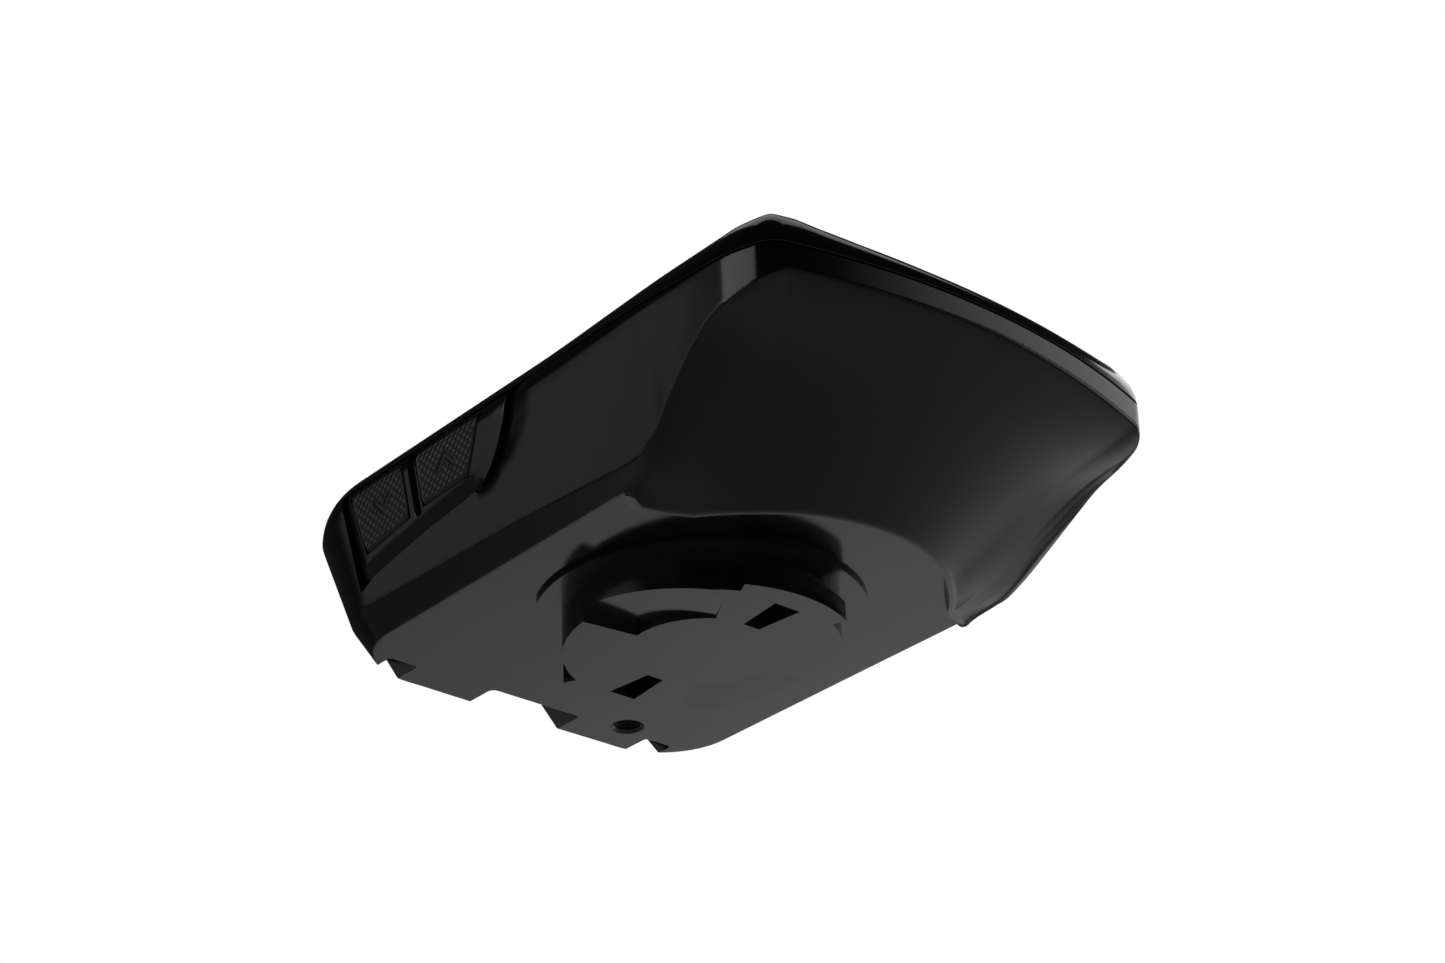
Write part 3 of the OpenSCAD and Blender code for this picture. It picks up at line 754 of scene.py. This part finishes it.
def knurled_button(name, corners, chevron, up, back):
    """side button: knurled field, engraved chevron, rolled edges; it stands just proud of the wall"""
    nu, nv = 128, 100
    cy, cz = chevron
    tip = (cy, cz + 0.75 * up)
    left, right = (cy - 1.05, cz - 0.35 * up), (cy + 1.05, cz - 0.35 * up)
    verts = []
    for j in range(nv + 1):
        for i in range(nu + 1):
            u, v = -1 + 2 * i / nu, -1 + 2 * j / nv
            q = quad_patch(corners, u, v)
            e = min((1 - abs(u)) * 4.0, (1 - abs(v)) * 2.6)
            roll = 0.16 * (1 - min(1.0, e / 0.25)) ** 2
            d = min(seg_dist(q, left, tip), seg_dist(q, tip, right))
            engraved = 0.14 * max(0.0, min(1.0, (0.3 - d) / 0.1))
            k = abs(((q[0] + q[1]) / 0.86) % 1 - 0.5) + abs(((q[0] - q[1]) / 0.86) % 1 - 0.5)
            field = max(0.0, min(1.0, (e - 0.22) / 0.12)) * max(0.0, min(1.0, (d - 0.36) / 0.1))
            verts.append((side_x(q[0], q[1]) + 0.26 - roll - engraved - 0.11 * field * k, q[0], q[1]))
    faces = grid_faces(nv + 1, nu + 1)
    loop = [i for i in range(nu + 1)] + [(j * (nu + 1) + nu) for j in range(1, nv + 1)]
    loop += [nv * (nu + 1) + i for i in range(nu - 1, -1, -1)] + [j * (nu + 1) for j in range(nv - 1, 0, -1)]
    base = len(verts)
    for i in loop:
        verts.append((back, verts[i][1], verts[i][2]))
    n = len(loop)
    for i in range(n):
        faces.append((loop[i], loop[(i + 1) % n], base + (i + 1) % n, base + i))
    faces.append(tuple(base + i for i in range(n)))
    return mesh_object(name, verts, faces, 50)


UP_Q = [(-11.7, 12.55), (-4.9, 12.75), (-2.7, 18.0), (-12.5, 18.0)]
DOWN_Q = [(-20.5, 11.35), (-13.7, 12.3), (-14.5, 18.0), (-22.6, 18.0)]
up_btn = knurled_button("up_button_skin", UP_Q, (-8.0, 15.4), 1, 20.7)
finish_piece(up_btn, M_SIDE_BTN, "up_button", "side_button_plastic", "up_button")
down_btn = knurled_button("down_button_skin", DOWN_Q, (-17.6, 15.4), -1, 20.7)
finish_piece(down_btn, M_SIDE_BTN, "down_button", "side_button_plastic", "down_button")


def outline_dist(q, pts):
    return min(seg_dist(q, pts[i - 1], pts[i]) for i in range(len(pts)))


DIVIDER_Y, DIVIDER_LEAN, PANEL_MID_Z = -13.1, 0.145, 15.3


def panel_mesh():
    """panel that swells from the groove up to the buttons, with a V groove between them"""
    ys = []
    for y0, y1, n in ((-24.15, -14, 36), (-13.9, -12.3, 17), (-12.1, -3.2, 34), (-3.0, 0.88, 22)):
        ys += list(np.linspace(y0, y1, n))
    low_y = [-24.2, -21.9, -19.6, -12, -6, -3.2, -1.9, -0.7, 0.45, 0.9]
    low_z = [18.5, 8.3, 9.2, 10.35, 10.95, 11.3, 12.4, 14.0, 16.2, 18.5]
    rows = 34
    verts = []
    for side in (0, 1):
        for y0 in ys:
            z0 = float(np.interp(y0, low_y, low_z))
            for j in range(rows + 1):
                z = lerp(z0, 18.6, j / rows)
                y = y0 - DIVIDER_LEAN * (z - PANEL_MID_Z) * max(0.0, 1 - abs(y0 - DIVIDER_Y) / 5)
                if side:
                    verts.append((20.45, y, z))
                    continue
                rise = lerp(0.0, 0.13, min(1.0, outline_dist(np.array([y, z]), PANEL) / 1.6))
                # lower margin, rear margin, groove between the buttons
                rise -= 0.6 * (1 - min(1.0, (z - z0) / 1.7)) * min(1.0, max(0.0, (-3.0 - y) / 1.5))
                rise -= 0.3 * max(0.0, -(y + 20.9 + (z - 11.35) * 0.316))
                rise -= 0.6 * max(0.0, 1 - abs(y0 + 12.9) / 0.5) * min(1.0, max(0.0, (z - 11.9) / 0.5))
                verts.append((side_x(y, z) + rise, y, z))
    n, m = len(ys), rows + 1
    faces = grid_faces(n, m) + grid_faces(n, m, base=n * m)
    loop = [(i, 0) for i in range(n)] + [(n - 1, j) for j in range(1, m)]
    loop += [(i, m - 1) for i in range(n - 2, -1, -1)] + [(0, j) for j in range(m - 2, 0, -1)]
    idx = [i * m + j for i, j in loop]
    for a in range(len(idx)):
        b = (a + 1) % len(idx)
        faces.append((idx[a], idx[b], n * m + idx[b], n * m + idx[a]))
    return mesh_object("side_button_panel_skin", verts, faces, 40)


panel = panel_mesh()
cut(panel, [prism("p1", offset_outline(UP_Q, 0.1), 19, 30, "x"), prism("p2", offset_outline(DOWN_Q, 0.1), 19, 30, "x")], angle=40)
finish_piece(panel, M_PANEL, "housing", "panel_plastic", "side_button_panel")


def capsule_button(name):
    """power button: capsule with a rolled rim and a shallow dish"""
    rim = slot_outline(-8, 14.4, 3, 1.9)
    rim_in = [slot_outline(-8, 14.4, 3, r) for r in (1.9, 1.9, 1.83, 1.68, 1.45, 1.0, 0.5, 0.05)]
    xs = (-20.7, -OUT + 0.3, -OUT + 0.1, -OUT + 0.02, -OUT + 0.02, -OUT + 0.1, -OUT + 0.16, -OUT + 0.18)
    n = len(rim)
    verts = []
    for ring, x in zip(rim_in, xs):
        verts += [(x, y, z) for y, z in ring]
    faces = grid_faces(len(xs), n, True)
    faces.append(tuple(range(n)))
    faces.append(tuple((len(xs) - 1) * n + i for i in range(n)))
    return mesh_object(name, verts, faces, 40)


finish_piece(capsule_button("power_button_skin"), M_POWER_BTN, "power_button", "power_button_plastic", "power_button")


def face_button(name, x):
    """domed rubber key with a rolled rim"""
    levels = [(0.0, 18.7), (0.0, 21.55), (-0.08, 21.72), (-0.25, 21.86), (-0.6, 21.96),
              (-1.1, 22.02), (-1.7, 22.06), (-2.2, 22.08)]
    rings = [face_outline(x, g) for g, z in levels]
    n = len(rings[0])
    verts = []
    for ring, (g, z) in zip(rings, levels):
        verts += [(a, b, z) for a, b in ring]
    faces = grid_faces(len(levels), n, True)
    faces.append(tuple(range(n)))
    faces.append(tuple((len(levels) - 1) * n + i for i in range(n)))
    return mesh_object(name, verts, faces, 40)


for key, x in zip(("left", "middle", "right"), FACE_X):
    node = "face_button_" + key
    finish_piece(face_button(node + "_skin", x), M_RUBBER, node, "button_rubber", node)


# ---------------------------------------------------------------- threaded insert
def insert_mesh():
    """knurled sleeve with a threaded bore"""
    n = 96
    prof = [(1.45, 4.4), (2.2, 4.4), (2.38, 4.55), (2.38, 5.5),
            (2.2, 5.6), (2.2, 5.9), (2.38, 6.0), (2.38, 7.2), (2.2, 7.3), (1.4, 7.3)]
    z = 7.2
    while z > 4.6:
        prof += [(1.38, z), (1.25, z - 0.12)]
        z -= 0.25
    verts, faces = [], []
    for r, h in prof:
        for i in range(n):
            a = 2 * math.pi * i / n
            rr = r - (0.07 if r > 2.3 and i % 4 < 2 else 0)
            verts.append((-10.5 + rr * math.cos(a), -23.3 + rr * math.sin(a), h))
    m = len(prof)
    for r in range(m):
        q = (r + 1) % m
        for i in range(n):
            j = (i + 1) % n
            faces.append((r * n + i, r * n + j, q * n + j, q * n + i))
    return mesh_object("security_screw_insert_skin", verts, faces, 30)


finish_piece(insert_mesh(), M_INSERT, "housing", "insert_brass", "security_screw_insert")


# ---------------------------------------------------------------- port cover
flap = prism("usb_flap_skin", rounded([(-5.8, 7.6), (5.8, 7.6), (5.8, 13.0), (-5.8, 13.0)], 0.35), 0.05, 0.8, "y",
             matrix=REAR_FRAME)
barrel = prism("f1", [(0.425 + 0.36 * math.cos(t), 7.6 + 0.36 * math.sin(t)) for t in np.linspace(0, 2 * math.pi, 33)[:-1]],
               -5.8, 5.8, "x", matrix=REAR_FRAME)
plug = prism("f2", rounded([(-4.1, 9.3), (4.1, 9.3), (4.1, 10.9), (-4.1, 10.9)], 0.5), 0.7, 1.6, "y", matrix=REAR_FRAME)
cut(flap, [barrel, plug], "UNION")
cut(flap, [prism("f3", rounded([(-3, 12.1), (3, 12.1), (3, 13.6), (-3, 13.6)], 0.3), -1, 0.3, "y", matrix=REAR_FRAME)])
bevel(flap, 0.1, 2, 30)
finish_piece(flap, M_FLAP, "usb_flap", "flap_rubber", "usb_flap")


# ---------------------------------------------------------------- CAD nodes kept as they are
def keep(node, mat):
    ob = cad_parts[node]
    ob.data.materials.clear()
    ob.data.materials.append(mat)


def lens_material():
    m, nt, b = new_mat("lens")
    b.inputs["Base Color"].default_value = (0.75, 0.78, 0.8, 1)
    b.inputs["Transmission Weight"].default_value = 1.0
    b.inputs["IOR"].default_value = 1.49
    tc = nt.nodes.new("ShaderNodeTexCoord")
    no = nt.nodes.new("ShaderNodeTexNoise")
    no.inputs["Scale"].default_value = 60.0
    no.inputs["Detail"].default_value = 6.0
    mr = nt.nodes.new("ShaderNodeMapRange")
    mr.inputs["From Min"].default_value = 0.35
    mr.inputs["From Max"].default_value = 0.75
    mr.inputs["To Min"].default_value = 0.02
    mr.inputs["To Max"].default_value = 0.09
    nt.links.new(tc.outputs["Object"], no.inputs["Vector"])
    nt.links.new(no.outputs["Fac"], mr.inputs["Value"])
    nt.links.new(mr.outputs["Result"], b.inputs["Roughness"])
    return m


def lcd_material():
    m, nt, b = new_mat("lcd")
    tc = nt.nodes.new("ShaderNodeTexCoord")
    br = nt.nodes.new("ShaderNodeTexBrick")
    br.offset = 0.0
    br.inputs["Scale"].default_value = 1000.0
    br.inputs["Brick Width"].default_value = 0.28
    br.inputs["Row Height"].default_value = 0.28
    br.inputs["Mortar Size"].default_value = 0.02
    br.inputs["Color1"].default_value = (0.22, 0.25, 0.22, 1)
    br.inputs["Color2"].default_value = (0.25, 0.28, 0.245, 1)
    br.inputs["Mortar"].default_value = (0.13, 0.15, 0.13, 1)
    nt.links.new(tc.outputs["Object"], br.inputs["Vector"])
    nt.links.new(br.outputs["Color"], b.inputs["Base Color"])
    b.inputs["Roughness"].default_value = 0.35
    return m


KEPT = {
    "display_lens": lens_material(),
    "lcd_panel": lcd_material(),
    "display_frame": plastic("frame_white", (0.7, 0.71, 0.72), 0.5, 0.08, 700.0, 0.1),
    "status_light_bar": plastic("light_pipe", (0.62, 0.64, 0.68), 0.3, 0.08, 900.0, 0.1),
    "seal_gasket": plastic("seal_rubber", (0.05, 0.05, 0.052), 0.6, 0.08, 1500.0, 0.15),
    "boss_screws": metal("screw_steel", (0.55, 0.56, 0.58), 0.3),
    "board_screws": metal("board_screw_steel", (0.55, 0.56, 0.58), 0.3),
    "main_board": plastic("board_green", (0.02, 0.12, 0.05), 0.4, 0.1, 500.0, 0.3, 0.00004),
    "battery": metal("battery_foil", (0.6, 0.62, 0.64), 0.35, (1, 1, 1), 120.0),
    "gps_antenna": plastic("ceramic", (0.5, 0.42, 0.3), 0.5, 0.1, 900.0, 0.2),
    "buzzer": plastic("buzzer_black", (0.02, 0.02, 0.022), 0.5, 0.1, 900.0, 0.2),
    "pressure_vent": plastic("vent_membrane", (0.8, 0.8, 0.78), 0.8, 0.1, 3000.0, 0.5),
    "usb_socket": metal("socket_steel", (0.6, 0.61, 0.63), 0.28, (30, 1, 1)),
    "side_switches": metal("switch_steel", (0.6, 0.6, 0.6), 0.35),
    "face_switches": metal("face_switch_steel", (0.6, 0.6, 0.6), 0.35),
    "face_button_pad": plastic("pad_rubber", (0.05, 0.05, 0.055), 0.7, 0.1, 1500.0, 0.2),
    "display_flex": plastic("flex_film", (0.4, 0.2, 0.05), 0.3, 0.08, 900.0, 0.1),
}
for node_name, material in KEPT.items():
    keep(node_name, material)


# ---------------------------------------------------------------- floor, world and lights
def stage_set():
    m, nt, b = new_mat("floor_pale")
    tc = nt.nodes.new("ShaderNodeTexCoord")
    no = nt.nodes.new("ShaderNodeTexNoise")
    no.inputs["Scale"].default_value = 14.0
    no.inputs["Detail"].default_value = 6.0
    ramp = nt.nodes.new("ShaderNodeValToRGB")
    ramp.color_ramp.elements[0].color = (0.76, 0.76, 0.76, 1)
    ramp.color_ramp.elements[1].color = (0.84, 0.84, 0.84, 1)
    nt.links.new(tc.outputs["Object"], no.inputs["Vector"])
    nt.links.new(no.outputs["Fac"], ramp.inputs["Fac"])
    nt.links.new(ramp.outputs["Color"], b.inputs["Base Color"])
    b.inputs["Roughness"].default_value = 0.9
    z = -170.0
    floor = mesh_object("floor", [(-3000, -3000, z), (3000, -3000, z), (3000, 3000, z), (-3000, 3000, z)], [(0, 1, 2, 3)])
    floor.data.materials.append(m)


WORLD_PANELS = [
    # centre direction, cosine where it starts, cosine of full strength, height where it fades out, strength
    ((-0.88, 0.22, 0.40), 0.60, 1.0, 0.50, 0.66, 0.95),
    ((0.80, -0.50, 0.25), 0.80, 0.97, 0.42, 0.62, 0.27),
]


def world_set():
    """white behind the object, dark studio with a few soft panels round it"""
    w = bpy.data.worlds.new("studio")
    bpy.context.scene.world = w
    w.use_nodes = True
    nt = w.node_tree
    nt.nodes.clear()
    link = nt.links.new
    out = nt.nodes.new("ShaderNodeOutputWorld")
    cam_bg = nt.nodes.new("ShaderNodeBackground")
    cam_bg.inputs["Color"].default_value = (1, 1, 1, 1)
    cam_bg.inputs["Strength"].default_value = 1.0
    env = nt.nodes.new("ShaderNodeBackground")
    env.inputs["Color"].default_value = (1, 1, 1, 1)
    tc = nt.nodes.new("ShaderNodeTexCoord")
    sep = nt.nodes.new("ShaderNodeSeparateXYZ")
    link(tc.outputs["Generated"], sep.inputs["Vector"])

    def smooth_range(value, f0, f1, t0, t1):
        n = nt.nodes.new("ShaderNodeMapRange")
        n.interpolation_type = "SMOOTHSTEP"
        for key, v in zip(("From Min", "From Max", "To Min", "To Max"), (f0, f1, t0, t1)):
            n.inputs[key].default_value = v
        link(value, n.inputs["Value"])
        return n.outputs["Result"]

    def math_node(op, x, y):
        n = nt.nodes.new("ShaderNodeMath")
        n.operation = op
        for i, v in enumerate((x, y)):
            if isinstance(v, float):
                n.inputs[i].default_value = v
            else:
                link(v, n.inputs[i])
        return n.outputs["Value"]

    total = smooth_range(sep.outputs["Z"], -0.3, 0.6, 0.03, 0.015)
    for centre, c0, c1, z_lo, z_hi, power in WORLD_PANELS:
        c = Vector(centre).normalized()
        dot = nt.nodes.new("ShaderNodeVectorMath")
        dot.operation = "DOT_PRODUCT"
        dot.inputs[1].default_value = c
        link(tc.outputs["Generated"], dot.inputs[0])
        blob = smooth_range(dot.outputs["Value"], c0, c1, 0.0, power)
        cap = smooth_range(sep.outputs["Z"], z_lo, z_hi, 1.0, 0.0)
        total = math_node("ADD", total, math_node("MULTIPLY", blob, cap))
    link(total, env.inputs["Strength"])
    lp = nt.nodes.new("ShaderNodeLightPath")
    mix = nt.nodes.new("ShaderNodeMixShader")
    link(lp.outputs["Is Camera Ray"], mix.inputs["Fac"])
    link(env.outputs["Background"], mix.inputs[1])
    link(cam_bg.outputs["Background"], mix.inputs[2])
    link(mix.outputs["Shader"], out.inputs["Surface"])


def area(name, loc, target, size, power, spread=180.0):
    d = bpy.data.lights.new(name, "AREA")
    d.shape = "RECTANGLE"
    d.size, d.size_y = size
    d.energy = power
    d.spread = math.radians(spread)
    ob = bpy.data.objects.new(name, d)
    ob.location = loc
    ob.rotation_euler = (Vector(target) - Vector(loc)).to_track_quat("-Z", "Y").to_euler()
    bpy.context.scene.collection.objects.link(ob)


stage_set()
world_set()
area("key_above", (-0.2, -0.15, 0.75), (0, 0, 0), (0.6, 0.45), 0.45)
area("floor_wash", (-0.45, -0.16, 0.22), (-0.45, -0.16, -0.17), (0.4, 0.4), 0.98, 125.0)
area("corner_panel", (0.5, -0.17, 0.27), (0, 0, 0.01), (0.3, 0.16), 0.15)
bpy.context.scene.view_settings.view_transform = "Standard"
